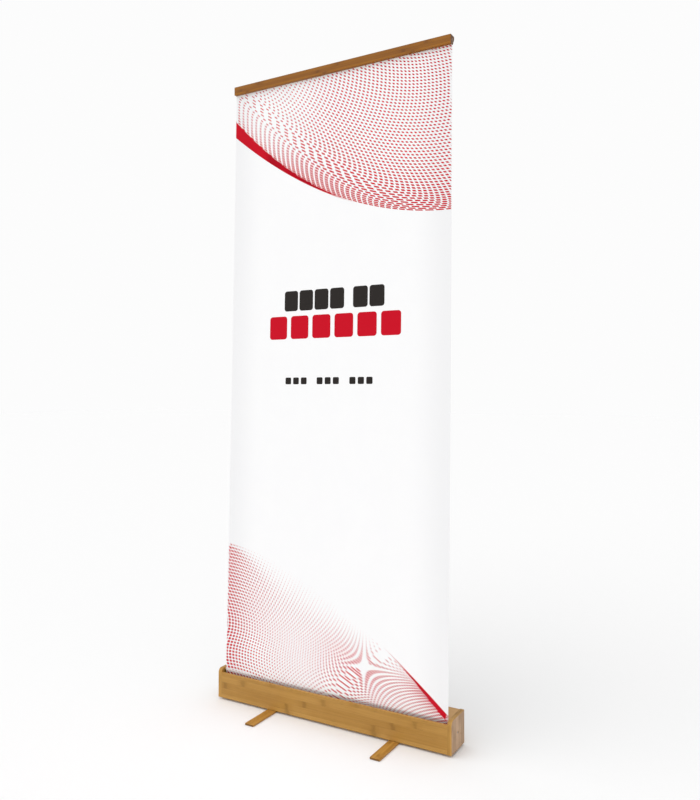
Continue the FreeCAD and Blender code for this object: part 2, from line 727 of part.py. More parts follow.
def main():
    fill_sheet()
    pegs = dowels()
    cassette_boards(pegs)
    bottom_board(pegs)
    for side, sign in SIDES:
        end_cap(side, sign, pegs)
        foot(side)
    lock_screw()
    foot_pivots()
    roller()
    axles()
    banner()
    rail()
    pole()
    check_document()
    write_steps()


main()
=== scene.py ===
"""The looks of a bamboo roll-up banner stand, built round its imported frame.

Metres, +X to the right seen from the front, +Y to the back, +Z up.
"""
import math

import bpy
import numpy as np
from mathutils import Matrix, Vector


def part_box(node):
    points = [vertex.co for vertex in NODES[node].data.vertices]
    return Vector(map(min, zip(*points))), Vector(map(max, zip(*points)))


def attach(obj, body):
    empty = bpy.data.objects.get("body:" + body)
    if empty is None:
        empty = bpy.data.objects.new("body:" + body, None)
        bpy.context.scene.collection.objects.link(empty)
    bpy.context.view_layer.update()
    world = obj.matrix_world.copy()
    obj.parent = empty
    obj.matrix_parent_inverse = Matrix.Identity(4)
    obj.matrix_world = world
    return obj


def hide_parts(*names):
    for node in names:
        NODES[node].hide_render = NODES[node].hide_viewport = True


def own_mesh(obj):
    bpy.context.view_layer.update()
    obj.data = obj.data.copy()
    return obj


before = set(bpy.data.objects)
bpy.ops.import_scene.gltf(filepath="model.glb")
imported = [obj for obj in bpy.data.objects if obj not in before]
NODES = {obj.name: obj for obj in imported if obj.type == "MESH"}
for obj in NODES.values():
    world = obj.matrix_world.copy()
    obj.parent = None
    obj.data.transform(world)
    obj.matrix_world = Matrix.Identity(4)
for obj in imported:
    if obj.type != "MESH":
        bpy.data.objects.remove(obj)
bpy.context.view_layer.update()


# ---- camera, floor and light ----

CAMERA_PLACE = (1.2487, -2.0590, 1.0288)
CAMERA_AZIMUTH = 29.96    # degrees, as the tilt
CAMERA_TILT = 1.35
CAMERA_LENS = 34.35       # millimetres
CAMERA_SHIFT = -0.0347    # of the frame's longer side
SURROUND_LIGHT = 0.74     # what lights the stand, and the white that the camera sees behind it
BACKDROP_WHITE = 0.975
SUN_FROM = (-0.35, -0.55, 1.0)
SUN_STRENGTH = 1.03
SUN_SPREAD = 80
FLOOR_HALF = 30.0


def make_camera():
    camera = bpy.data.objects.new("camera", bpy.data.cameras.new("camera"))
    bpy.context.scene.collection.objects.link(camera)
    camera.location = CAMERA_PLACE
    camera.rotation_euler = (math.radians(90 + CAMERA_TILT), 0, math.radians(CAMERA_AZIMUTH))
    camera.data.lens = CAMERA_LENS
    camera.data.sensor_width = 36
    camera.data.shift_y = CAMERA_SHIFT
    camera.data.clip_start = 0.05
    bpy.context.scene.camera = camera


def make_floor():
    mesh = bpy.data.meshes.new("floor")
    corners = [(FLOOR_HALF * x, FLOOR_HALF * y, 0) for x, y in ((-1, -1), (1, -1), (1, 1), (-1, 1))]
    mesh.from_pydata(corners, [], [(0, 1, 2, 3)])
    floor = bpy.data.objects.new("floor", mesh)
    bpy.context.scene.collection.objects.link(floor)
    paint = bpy.data.materials.new("floor_paint")
    paint.use_nodes = True
    shader = paint.node_tree.nodes["Principled BSDF"]
    shader.inputs["Base Color"].default_value = (0.97, 0.97, 0.97, 1)
    shader.inputs["Roughness"].default_value = 0.9
    shader.inputs["Specular IOR Level"].default_value = 0.1
    mesh.materials.append(paint)


def make_light():
    """An even white surround with a broad soft sun, from the upper left in front of the stand."""
    world = bpy.data.worlds.new("studio")
    bpy.context.scene.world = world
    world.use_nodes = True
    nodes, links = world.node_tree.nodes, world.node_tree.links
    background = nodes["Background"]
    background.inputs["Color"].default_value = (1, 1, 1, 1)
    seen = nodes.new("ShaderNodeLightPath").outputs["Is Camera Ray"]
    strength = nodes.new("ShaderNodeMapRange")
    links.new(seen, strength.inputs["Value"])
    strength.inputs["To Min"].default_value = SURROUND_LIGHT
    strength.inputs["To Max"].default_value = BACKDROP_WHITE
    links.new(strength.outputs[0], background.inputs["Strength"])
    sun = bpy.data.objects.new("soft_sun", bpy.data.lights.new("soft_sun", "SUN"))
    bpy.context.scene.collection.objects.link(sun)
    sun.rotation_euler = Vector(SUN_FROM).to_track_quat("Z", "Y").to_euler()
    sun.data.energy = SUN_STRENGTH
    sun.data.angle = math.radians(SUN_SPREAD)
    bpy.context.scene.view_settings.view_transform = "Standard"


# ---- materials ----

def linear(red, green, blue):
    """A colour given as it shows on a screen, 0 to 255, as the shader wants it."""
    channels = [channel / 255 for channel in (red, green, blue)]
    return [c / 12.92 if c <= 0.04045 else ((c + 0.055) / 1.055) ** 2.4 for c in channels] + [1.0]


def shaded(tone, share, lift=0.0):
    """A darker or paler colour: each channel times a share, plus a lift."""
    return [channel * share + lift for channel in tone[:3]] + [1]


class Finish:
    """One procedural material, with short calls that add the nodes that feed its shader."""

    def __init__(self, name, **constants):
        self.material = bpy.data.materials.new(name)
        self.material.use_nodes = True
        self.nodes = self.material.node_tree.nodes
        self.links = self.material.node_tree.links
        self.shader = self.nodes["Principled BSDF"]
        coordinates = self.nodes.new("ShaderNodeTexCoord")
        self.place = coordinates.outputs["Object"]
        self.normal = coordinates.outputs["Normal"]
        for socket, value in constants.items():
            self.shader.inputs[socket.replace("_", " ")].default_value = value

    def feed(self, socket, value):
        """Links a socket, or sets it where the value is plain."""
        if isinstance(value, bpy.types.NodeSocket):
            self.links.new(value, socket)
        elif value is not None:
            socket.default_value = value

    def math(self, operation, first, second=None, third=None):
        node = self.nodes.new("ShaderNodeMath")
        node.operation = operation
        for socket, value in zip(node.inputs, (first, second, third)):
            self.feed(socket, value)
        return node.outputs[0]

    def split(self, vector):
        node = self.nodes.new("ShaderNodeSeparateXYZ")
        self.feed(node.inputs[0], vector)
        return node.outputs

    def join(self, x, y, z):
        node = self.nodes.new("ShaderNodeCombineXYZ")
        for socket, value in zip(node.inputs, (x, y, z)):
            self.feed(socket, value)
        return node.outputs[0]

    def stretch(self, scale, vector=None):
        """The place, scaled on each axis."""
        node = self.nodes.new("ShaderNodeVectorMath")
        node.operation = "MULTIPLY"
        self.feed(node.inputs[0], vector or self.place)
        node.inputs[1].default_value = scale
        return node.outputs[0]

    def noise(self, vector, scale=1.0, detail=2.0, roughness=0.5, distortion=0.0):
        node = self.nodes.new("ShaderNodeTexNoise")
        self.feed(node.inputs["Vector"], vector)
        node.inputs["Scale"].default_value = scale
        node.inputs["Detail"].default_value = detail
        node.inputs["Roughness"].default_value = roughness
        node.inputs["Distortion"].default_value = distortion
        return node.outputs["Fac"]

    def chance(self, vector):
        """The same random number, 0 to 1, wherever the vector is the same."""
        node = self.nodes.new("ShaderNodeTexWhiteNoise")
        self.feed(node.inputs["Vector"], vector)
        return node.outputs["Value"]

    def range(self, value, low, high, to_low=0.0, to_high=1.0, smooth=False):
        node = self.nodes.new("ShaderNodeMapRange")
        node.interpolation_type = "SMOOTHSTEP" if smooth else "LINEAR"
        for socket, number in zip(node.inputs, (value, low, high, to_low, to_high)):
            self.feed(socket, number)
        return node.outputs[0]

    def mix(self, factor, first, second):
        node = self.nodes.new("ShaderNodeMix")
        node.data_type = "RGBA"
        self.feed(node.inputs["Factor"], factor)
        self.feed(node.inputs[6], first)
        self.feed(node.inputs[7], second)
        return node.outputs[2]

    def bump(self, height, depth):
        """Depth is how many metres a height of 1 stands proud."""
        node = self.nodes.new("ShaderNodeBump")
        node.inputs["Strength"].default_value = 1.0
        node.inputs["Distance"].default_value = depth
        self.feed(node.inputs["Height"], height)
        self.links.new(node.outputs[0], self.shader.inputs["Normal"])

    def finish(self, colour=None, roughness=None):
        self.feed(self.shader.inputs["Base Color"], colour)
        self.feed(self.shader.inputs["Roughness"], roughness)
        return self.material


STRIP = 0.0195            # width of the strips that a board is glued up from
PLY = 0.0027              # and their thickness
FIRST_STRIP = 0.35        # the share of a strip that is cut off at a board's edge
FIRST_PLY = 0.4
KNOT_GAP = 0.31           # from one knot to the next along a strip
KNOT_LINE = 0.011         # half width of a knot's line, and of the stain beside it
KNOT_STAIN = 0.03


def bamboo_fibres(wood, grain):
    """Long fine streaks, and short dark bundles."""
    long_scale = [420.0, 420.0, 420.0]
    long_scale[grain] = 5.0
    bundle_scale = [900.0, 900.0, 900.0]
    bundle_scale[grain] = 42.0
    fibre = wood.noise(wood.stretch(long_scale), detail=4, roughness=0.62, distortion=0.15)
    bundle = wood.range(wood.noise(wood.stretch(bundle_scale), detail=1), 0.62, 0.74, smooth=True)
    return fibre, bundle


def bamboo_knots(wood, along, shift, knot_gap):
    """A dark line over each strip at every knot, with a wider stain; shift is the strip's own start."""
    wander = wood.math("MULTIPLY", wood.noise(wood.place, scale=70, detail=2), 0.055)
    turns = wood.math("ADD", wood.math("DIVIDE", along, knot_gap), wood.math("ADD", shift, wander))
    reach = wood.math("SUBTRACT", wood.math("FRACT", turns), 0.5)
    off_knot = wood.math("MULTIPLY", wood.math("ABSOLUTE", reach), knot_gap)
    line = wood.range(off_knot, KNOT_LINE, 0.001, smooth=True)
    stain = wood.range(off_knot, KNOT_STAIN, 0.005, smooth=True)
    return wood.math("MULTIPLY", line, wood.range(shift, 0.25, 0.6, 0.35, 1.0)), stain


def glue_line(wood, count, start, end):
    """The line between neighbours, where count rises by one from each to the next."""
    off_middle = wood.math("ABSOLUTE", wood.math("SUBTRACT", wood.math("FRACT", count), 0.5))
    return wood.range(off_middle, start, end, smooth=True)


def bamboo(name, light, dark, grain, across, corner, seed, strip=STRIP, knot_gap=KNOT_GAP,
           end_grain=0.9, outer=None):
    """Laminated bamboo: strips glued side by side and in plies, each with its own tone and its own knots.

    grain and across are axes, 0 to 2, along the fibres and over the strips. corner is where the
    first strip and the first ply start, and end_grain is how strongly the cut ends show.
    The last argument, (way, light, dark), is painted light and shade: the board's face that way, 1 or -1
    along the third axis, is given a paler, greyer tone for how that side is lit.
    """
    wood = Finish(name, Coat_Weight=0.06, Coat_Roughness=0.4, Specular_IOR_Level=0.28)
    deep = 3 - grain - across
    axes = wood.split(wood.place)
    facing = wood.split(wood.normal)
    over = wood.math("DIVIDE", wood.math("SUBTRACT", axes[across], corner[across]), strip)
    over = wood.math("ADD", over, FIRST_STRIP)
    layer = wood.math("DIVIDE", wood.math("SUBTRACT", axes[deep], corner[deep]), PLY)
    layer = wood.math("ADD", layer, FIRST_PLY)
    lane = wood.join(wood.math("FLOOR", over), wood.math("FLOOR", layer), seed)
    tone = wood.chance(lane)
    shift = wood.chance(wood.stretch((3.7, 5.3, 1.9), lane))
    fibre, bundle = bamboo_fibres(wood, grain)
    knot, stain = bamboo_knots(wood, axes[grain], shift, knot_gap)
    seam = glue_line(wood, over, 0.488, 0.499)
    layer_seam = glue_line(wood, layer, 0.44, 0.495)

    shade = wood.math("MULTIPLY_ADD", tone, 0.5, wood.math("MULTIPLY", fibre, 0.75))
    cloud = wood.noise(wood.place, scale=9, detail=2)
    shade = wood.math("ADD", shade, wood.math("MULTIPLY_ADD", cloud, 0.5, -0.42))
    deeper = shaded(dark, 0.55)
    # painted light and shade: the face that way takes a paler, greyer tone for how that side is lit, not a
    # tone of the wood's own
    if outer:
        way, outer_light, outer_dark = outer
        on_lit_side = wood.range(wood.math("MULTIPLY", facing[deep], way), 0.6, 0.85, smooth=True)
        light = wood.mix(on_lit_side, light, outer_light)
        dark = wood.mix(on_lit_side, dark, outer_dark)
    colour = wood.mix(wood.range(shade, 0.05, 0.95), light, dark)
    marks = ((bundle, 0.3, deeper), (stain, 0.4, dark), (knot, 0.4, deeper), (seam, 0.5, deeper),
             (layer_seam, 0.25, deeper))
    for mark, strength, mark_colour in marks:
        colour = wood.mix(wood.math("MULTIPLY", mark, strength), colour, mark_colour)

    # end grain: darker and speckled, on the faces that the fibres run into
    cut_end = wood.range(wood.math("ABSOLUTE", facing[grain]), 0.6, 0.85, smooth=True)
    speck = wood.range(wood.noise(wood.place, scale=1300, detail=1), 0.42, 0.62, 0.4, 1.0)
    end_colour = wood.mix(speck, dark, shaded(deeper, 0.5))
    colour = wood.mix(wood.math("MULTIPLY", cut_end, end_grain), colour, end_colour)

    height = wood.math("MULTIPLY_ADD", fibre, 0.5, wood.math("MULTIPLY", seam, -1.0))
    height = wood.math("ADD", height, wood.math("MULTIPLY", stain, 0.6))
    height = wood.math("SUBTRACT", height, wood.math("MULTIPLY", bundle, 0.35))
    wood.bump(height, 0.00018)
    rough = wood.math("MULTIPLY_ADD", fibre, 0.22, wood.math("MULTIPLY_ADD", cloud, 0.16, 0.26))
    return wood.finish(colour, rough)


def brushed_metal(name, tone, axis, rough=0.3):
    """Drawn or brushed metal, with fine lines along an axis, a few scratches and dull patches."""
    metal = Finish(name, Metallic=1.0)
    scale = [2600.0, 2600.0, 2600.0]
    scale[axis] = 9.0
    lines = metal.noise(metal.stretch(scale), detail=3, roughness=0.7)
    patch = metal.noise(metal.place, scale=26, detail=3)
    scratch = metal.range(metal.noise(metal.stretch((700, 90, 55)), detail=1), 0.7, 0.74)
    worn = shaded(tone, 0.8)
    colour = metal.mix(metal.range(lines, 0.3, 0.7), tone, worn)
    colour = metal.mix(metal.math("MULTIPLY", scratch, 0.35), colour, [min(1, c * 1.2) for c in tone])
    dull = metal.math("MULTIPLY_ADD", patch, 0.14, rough - 0.1)
    metal.bump(metal.math("SUBTRACT", lines, scratch), 0.00004)
    return metal.finish(colour, metal.math("MULTIPLY_ADD", lines, 0.16, dull))


def moulded_plastic(name, tone, rough=0.45):
    """Moulded plastic with a fine spark-eroded texture and rubbed, paler patches."""
    plastic = Finish(name, Specular_IOR_Level=0.45)
    texture = plastic.noise(plastic.place, scale=2100, detail=2, roughness=0.6)
    patch = plastic.noise(plastic.place, scale=55, detail=4, roughness=0.6)
    rubbed = shaded(tone, 1.7, 0.012)
    colour = plastic.mix(plastic.range(patch, 0.5, 0.8, 0.0, 0.5, smooth=True), tone, rubbed)
    plastic.bump(texture, 0.00006)
    return plastic.finish(colour, plastic.math("MULTIPLY_ADD", patch, 0.25, rough - 0.1))


def rubber(name, tone):
    """Matt rubber with fine pores and paler dust."""
    soft = Finish(name, Specular_IOR_Level=0.25)
    pores = soft.noise(soft.place, scale=1500, detail=3, roughness=0.7)
    dust = soft.noise(soft.place, scale=120, detail=4)
    pale = shaded(tone, 2.2, 0.01)
    soft.bump(pores, 0.0001)
    return soft.finish(soft.mix(soft.range(dust, 0.45, 0.8, 0, 0.6), tone, pale),
                       soft.math("MULTIPLY_ADD", pores, 0.15, 0.78))


def foam_tape(name):
    """Pale double-sided tape with small foam cells."""
    tape = Finish(name, Specular_IOR_Level=0.3)
    cells = tape.noise(tape.place, scale=1800, detail=3)
    tape.bump(cells, 0.00008)
    colour = tape.mix(tape.range(cells, 0.35, 0.65), linear(236, 234, 226), linear(214, 211, 200))
    return tape.finish(colour, 0.7)


def dowel_wood(name):
    """Beech, with fine fibres and short dark flecks along the dowels."""
    beech = Finish(name, Specular_IOR_Level=0.3)
    fibre = beech.noise(beech.stretch((26, 1200, 1200)), detail=4, roughness=0.65)
    fleck = beech.range(beech.noise(beech.stretch((160, 1800, 1800)), detail=1), 0.64, 0.72)
    colour = beech.mix(beech.range(fibre, 0.3, 0.7), linear(214, 178, 132), linear(188, 146, 98))
    colour = beech.mix(beech.math("MULTIPLY", fleck, 0.5), colour, linear(140, 98, 58))
    beech.bump(fibre, 0.00008)
    return beech.finish(colour, beech.math("MULTIPLY_ADD", fibre, 0.2, 0.5))


def banner_film(name):
    """Matt white film: a whisper of weave, soft mottling, painted shade that greys the side edges where the
    sheet curls back, and a greyer back.
    """
    film = Finish(name, Specular_IOR_Level=0.35, Sheen_Weight=0.08, Sheen_Roughness=0.4)
    weave = film.noise(film.stretch((1500, 300, 1500)), detail=2)
    mottle = film.noise(film.place, scale=14, detail=3)
    behind = film.range(film.split(film.normal)[1], 0.2, 0.6)
    white = film.mix(mottle, linear(252, 252, 252), linear(249, 249, 250))
    from_middle = film.math("ABSOLUTE", film.split(film.place)[0])
    # painted shade: the white greys towards the side edges, standing in for the shade where the sheet curls
    # back
    white = film.mix(film.range(from_middle, 0.27, 0.4, smooth=True), white, linear(242, 242, 243))
    colour = film.mix(behind, white, linear(205, 206, 208))
    film.bump(weave, 0.00003)
    return film.finish(colour, film.math("MULTIPLY_ADD", mottle, 0.12, 0.5))


def printed_ink(name, tone):
    """Ink on film: nearly flat, with the print head's faint banding."""
    ink = Finish(name, Specular_IOR_Level=0.08)
    banding = ink.noise(ink.stretch((6, 6, 420)), detail=2)
    grain = ink.noise(ink.place, scale=900, detail=2)
    paler = shaded(tone, 0.9, 0.015)
    strength = ink.math("MULTIPLY", ink.math("MULTIPLY", banding, grain), 0.6)
    ink.bump(grain, 0.00001)
    return ink.finish(ink.mix(strength, tone, paler), ink.math("MULTIPLY_ADD", grain, 0.1, 0.55))


X, Y, Z = 0, 1, 2
BAMBOO_LIGHT = linear(200, 153, 78)
BAMBOO_DARK = linear(160, 114, 44)
RAIL_LIGHT = linear(160, 101, 8)
RAIL_DARK = linear(122, 70, 2)
FOOT_LIGHT = linear(198, 148, 68)
FOOT_DARK = linear(158, 108, 42)
# painted light and shade: the paler, greyer tones given to the end caps' outward faces for how those sides
# are lit
CAP_SIDE_LIGHTING_PALE = linear(196, 160, 124)
CAP_SIDE_LIGHTING_DEEP = linear(150, 114, 80)
COVER_LIGHT = linear(214, 168, 104)
COVER_DARK = linear(182, 134, 78)


def wood_for(node, light, dark, grain, across, **sizes):
    """Bamboo for one frame node, with strips that start at its own lowest corner."""
    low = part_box(node)[0]
    return bamboo(f"bamboo_{node}", light, dark, grain, across, low, seed=len(node) * 1.7, **sizes)


def wear(node, material):
    """Gives a frame node its material."""
    for slot in NODES[node].material_slots:
        slot.link = "OBJECT"
        slot.material = material


def dress_wood():
    wear("front_board", wood_for("front_board", BAMBOO_LIGHT, BAMBOO_DARK, X, Z))
    wear("back_board", wood_for("back_board", BAMBOO_LIGHT, BAMBOO_DARK, X, Z))
    wear("bottom_board", wood_for("bottom_board", BAMBOO_LIGHT, BAMBOO_DARK, X, Y))
    wear("top_cover", wood_for("top_cover", COVER_LIGHT, COVER_DARK, X, Y))
    for side, way in (("left", -1), ("right", 1)):
        # the end caps' outward faces get painted light and shade, a paler, greyer tone
        wear(f"end_cap_{side}", wood_for(f"end_cap_{side}", BAMBOO_LIGHT, BAMBOO_DARK, Z, Y, knot_gap=0.19,
                                        end_grain=0.15, outer=(way, CAP_SIDE_LIGHTING_PALE, CAP_SIDE_LIGHTING_DEEP)))
        wear(f"foot_{side}", wood_for(f"foot_{side}", FOOT_LIGHT, FOOT_DARK, Y, X, strip=0.008))
    for part in ("front", "back"):
        node = f"rail_{part}_strip"
        wear(node, wood_for(node, RAIL_LIGHT, RAIL_DARK, X, Z, strip=0.0098))
    wear("cap_dowels", dowel_wood("beech"))


def dress_hardware():
    aluminium = brushed_metal("aluminium_tube", linear(205, 207, 210), Z)
    roller_metal = brushed_metal("roller_aluminium", linear(196, 198, 202), X)
    steel = brushed_metal("zinc_steel", linear(186, 188, 190), X, rough=0.34)
    spring_steel = brushed_metal("spring_steel", linear(120, 120, 124), X, rough=0.38)
    black = moulded_plastic("black_plastic", linear(34, 34, 36))
    grey = moulded_plastic("grey_plastic", linear(120, 122, 125), rough=0.5)
    pad = rubber("rubber_pad", linear(40, 40, 42))
    tape = foam_tape("foam_tape")
    for node in ("pole_lower_tube", "pole_mid_tube", "pole_top_tube"):
        wear(node, aluminium)
    wear("roller_tube", roller_metal)
    for node in ("lock_screw", "foot_screws", "foot_washers", "rail_screws", "idler_axle",
                 "spring_axle", "spring_anchor"):
        wear(node, steel)
    wear("torsion_spring", spring_steel)
    for node in ("pole_socket", "pole_grommet", "lower_lock_collar", "upper_lock_collar",
                 "pole_hook_cap", "roller_plug_left", "roller_plug_right"):
        wear(node, black)
    for node in ("lower_lock_insert", "upper_lock_insert", "pole_mid_plug", "pole_top_plug"):
        wear(node, grey)
    for node in ("foot_left_pads", "foot_right_pads"):
        wear(node, pad)
    wear("rail_tape", tape)


# ---- the banner ----

SHEET_LOW, SHEET_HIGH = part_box("banner_sheet")
SHEET_HALF = SHEET_HIGH.x
SHEET_THICK = 0.0004
FRONT_FOOT_Y = SHEET_LOW.y
FRONT_TOP_Y = SHEET_HIGH.y - SHEET_THICK
EDGE_CURL = 0.003         # how far the side edges stand back
CURL_START = 0.26         # how far from the middle the curl starts
RIPPLE = 0.0006
RAIL_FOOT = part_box("rail_front_strip")[0].z
LEAN_TOP = RAIL_FOOT - 0.018
NOSE_RADIUS = 0.0047
SHARP_FOLD = math.radians(40)
ROLL_LOW, ROLL_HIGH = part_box("banner_roll")
ROLL_Y = (ROLL_LOW.y + ROLL_HIGH.y) / 2
ROLL_Z = (ROLL_LOW.z + ROLL_HIGH.z) / 2
ROLL_RADIUS = (ROLL_HIGH.z - ROLL_LOW.z) / 2
ROLLER_RADIUS = (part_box("roller_tube")[1].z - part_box("roller_tube")[0].z) / 2


def front_of_sheet(x, z):
    """Y of the sheet's printed face: a straight lean, with side edges that curl back a little.

    Just under the rail it turns upright, so that it stays between the rail's strips as the rail comes down.
    """
    rise = np.clip((z - SHEET_LOW.z) / (LEAN_TOP - SHEET_LOW.z), 0, 1)
    lean = FRONT_FOOT_Y + (FRONT_TOP_Y - FRONT_FOOT_Y) * rise
    free = np.sin(np.pi * rise) ** 0.7
    edge = np.clip((np.abs(x) - CURL_START) / (SHEET_HALF - CURL_START), 0, 1)
    ripple = RIPPLE * np.sin(x * 19 + 1.3) * np.sin(z * 2.6)
    return lean + free * (EDGE_CURL * edge ** 2 + ripple)


def leader_path():
    """The printed face below the sheet's foot: round the cover's nose, then straight down to the roll.

    Rows of (y, z, y of the normal, z of the normal), the normal pointing to the back of the sheet.
    """
    lean = math.atan2(FRONT_TOP_Y - FRONT_FOOT_Y, LEAN_TOP - SHEET_LOW.z)
    centre_y = FRONT_FOOT_Y + NOSE_RADIUS * math.cos(lean)
    centre_z = SHEET_LOW.z - NOSE_RADIUS * math.sin(lean)
    to_roll = (ROLL_Y - centre_y, ROLL_Z - centre_z)
    roll_face = ROLL_RADIUS + SHEET_THICK
    turn = math.acos((roll_face - NOSE_RADIUS) / math.hypot(*to_roll)) - math.atan2(-to_roll[1], to_roll[0])
    rows = []
    for heading in np.linspace(-lean, turn, 9):
        across = (math.cos(heading), math.sin(heading))
        rows.append((centre_y - NOSE_RADIUS * across[0], centre_z - NOSE_RADIUS * across[1], *across))
    across = (math.cos(turn), math.sin(turn))
    rows.append((ROLL_Y - roll_face * across[0], ROLL_Z - roll_face * across[1], *across))
    return np.array(rows)


LEADER = leader_path()
LEADER_RUN = np.concatenate([[0], np.cumsum(np.hypot(np.diff(LEADER[:, 0]), np.diff(LEADER[:, 1])))])


def on_sheet(x, z, depth=0.0):
    """The point at a place on the flat sheet; below its foot the sheet runs on down to the roll.

    depth goes through the sheet, from its printed face to its back.
    """
    below = np.clip(SHEET_LOW.z - z, 0, LEADER_RUN[-1])
    leader_y, leader_z, across_y, across_z = (np.interp(below, LEADER_RUN, LEADER[:, i]) for i in range(4))
    y = np.where(below > 0, leader_y + depth * across_y, front_of_sheet(x, z) + depth)
    z = np.where(below > 0, leader_z + depth * across_z, z)
    return np.stack(np.broadcast_arrays(x, y, z), axis=-1)


def add_mesh(name, points, faces, material):
    mesh = bpy.data.meshes.new(name)
    mesh.from_pydata([tuple(p) for p in points], [], [tuple(f) for f in faces])
    mesh.validate()
    mesh.materials.append(material)
    mesh.shade_smooth()
    mesh.set_sharp_from_angle(angle=SHARP_FOLD)
    piece = bpy.data.objects.new(name, mesh)
    bpy.context.scene.collection.objects.link(piece)
    return piece


def closed_sheet(name, front, back, material):
    """A thin closed mesh from two grids of points, rows by columns, that face away from each other."""
    rows, columns = front.shape[:2]
    count = rows * columns
    points = np.concatenate([front.reshape(-1, 3), back.reshape(-1, 3)])
    faces = []
    for row in range(rows - 1):
        for column in range(columns - 1):
            a = row * columns + column
            quad = (a, a + 1, a + columns + 1, a + columns)
            faces.append(quad)
            faces.append(tuple(count + i for i in reversed(quad)))
    rim = list(range(columns))
    rim += [row * columns + columns - 1 for row in range(1, rows)]
    rim += [(rows - 1) * columns + column for column in range(columns - 2, -1, -1)]
    rim += [row * columns for row in range(rows - 2, 0, -1)]
    for here, after in zip(rim, rim[1:] + rim[:1]):
        faces.append((after, here, count + here, count + after))
    return add_mesh(name, points, faces, material)


def lower_with_rail(piece):
    """Gives a piece a mesh of its own, shared with no other; it doesn't shorten the piece as the rail comes
    down.
    """
    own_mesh(piece)


def make_sheet(film):
    """The stretch of sheet in sight, from the slot up between the rail's strips."""
    columns = np.linspace(-SHEET_HALF, SHEET_HALF, 97)
    x, z = np.meshgrid(columns, np.linspace(SHEET_LOW.z, SHEET_HIGH.z, 161))
    sheet = closed_sheet("banner_cloth", on_sheet(x, z), on_sheet(x, z, SHEET_THICK), film)
    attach(sheet, "cassette")
    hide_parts("banner_sheet")
    lower_with_rail(sheet)
    return sheet


def make_leader(film):
    """The short run from the foot of the sheet down to the roll."""
    levels = SHEET_LOW.z - LEADER_RUN[::-1]
    x, z = np.meshgrid(np.linspace(-SHEET_HALF, SHEET_HALF, 9), levels)
    leader = closed_sheet("banner_leader_cloth", on_sheet(x, z), on_sheet(x, z, SHEET_THICK), film)
    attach(leader, "cassette")
    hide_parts("banner_leader")


def make_roll(film):
    """The turns wound on the roller, as one spiral that starts where the leader touches it."""
    turns = (ROLL_RADIUS - ROLLER_RADIUS) / SHEET_THICK - 1
    start = math.atan2(LEADER[-1, 1] - ROLL_Z, LEADER[-1, 0] - ROLL_Y)
    angle = np.linspace(0, 2 * math.pi * turns, 120)
    x, angle = np.meshgrid(np.linspace(-SHEET_HALF, SHEET_HALF, 5), angle)
    outside = ROLL_RADIUS - SHEET_THICK * angle / (2 * math.pi)
    faces = []
    for radius in (outside - 0.95 * SHEET_THICK, outside):
        y = ROLL_Y + radius * np.cos(start + angle)
        z = ROLL_Z + radius * np.sin(start + angle)
        faces.append(np.stack([x, y, z], axis=-1))
    roll = closed_sheet("banner_wound_roll", *faces, film)
    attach(roll, "roller")
    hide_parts("banner_roll")


# ---- the print ----
# Places on the flat sheet are given as x and height in millimetres.

MM = 0.001
INK_LIFT = 0.00015        # metres from the sheet to the ink
ROW_STEP = 1.3            # how finely a row of dashes is walked, and for how many steps
ROW_STEPS = 760
MOST_LEAN = 1.1           # of a dash's ends, over its width
PRINT_TOP = RAIL_FOOT / MM - 0.6
PRINT_LOW = 78.0
HALF_WIDTH = SHEET_HALF / MM
LEFT, RIGHT = -400.0, 400.0


class Print:
    """Flat printed shapes in one ink, each a ribbon between two edges, given as rows of (x, height)."""

    def __init__(self):
        self.points = []
        self.faces = []

    def ribbon(self, first, second):
        (x0, z0), (x1, z1), (x2, z2) = first[0], second[0], first[1]
        if (x1 - x0) * (z2 - z0) - (z1 - z0) * (x2 - x0) > 0:
            first, second = second, first
        start = len(self.points)
        for one, other in zip(first, second):
            self.points += [one, other]
        for corner in range(start, len(self.points) - 3, 2):
            self.faces.append((corner, corner + 2, corner + 3, corner + 1))

    def make(self, name, material, lowers=True):
        flat = np.array(self.points)
        x = np.clip(flat[:, 0], -HALF_WIDTH, HALF_WIDTH) * MM
        z = np.clip(flat[:, 1], PRINT_LOW, PRINT_TOP) * MM
        piece = add_mesh(name, on_sheet(x, z, -INK_LIFT), self.faces, material)
        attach(piece, "cassette")
        if lowers:
            lower_with_rail(piece)
        return piece


def soft_step(value):
    """0 below zero and 1 above one, with a smooth rise between."""
    value = np.clip(value, 0, 1)
    return value * value * (3 - 2 * value)


def soft_ramp(value, width):
    """Nothing below zero, the value above it, with a bend of a given width."""
    return width * np.log1p(np.exp(np.clip(value / width, -40, 40)))


def slope(field, x, z):
    """How fast a field's value rises along x and along z, per millimetre."""
    nudge = 0.05
    along_x = (field(x + nudge, z) - field(x - nudge, z)) / (2 * nudge)
    along_z = (field(x, z + nudge) - field(x, z - nudge)) / (2 * nudge)
    return along_x, along_z


def from_left(x):
    """0 at the sheet's left edge, 1 at its right edge."""
    return np.clip((x - LEFT) / (RIGHT - LEFT), 0, 1)


def from_right(x):
    return np.clip((RIGHT - x) / (RIGHT - LEFT), 0, 1)


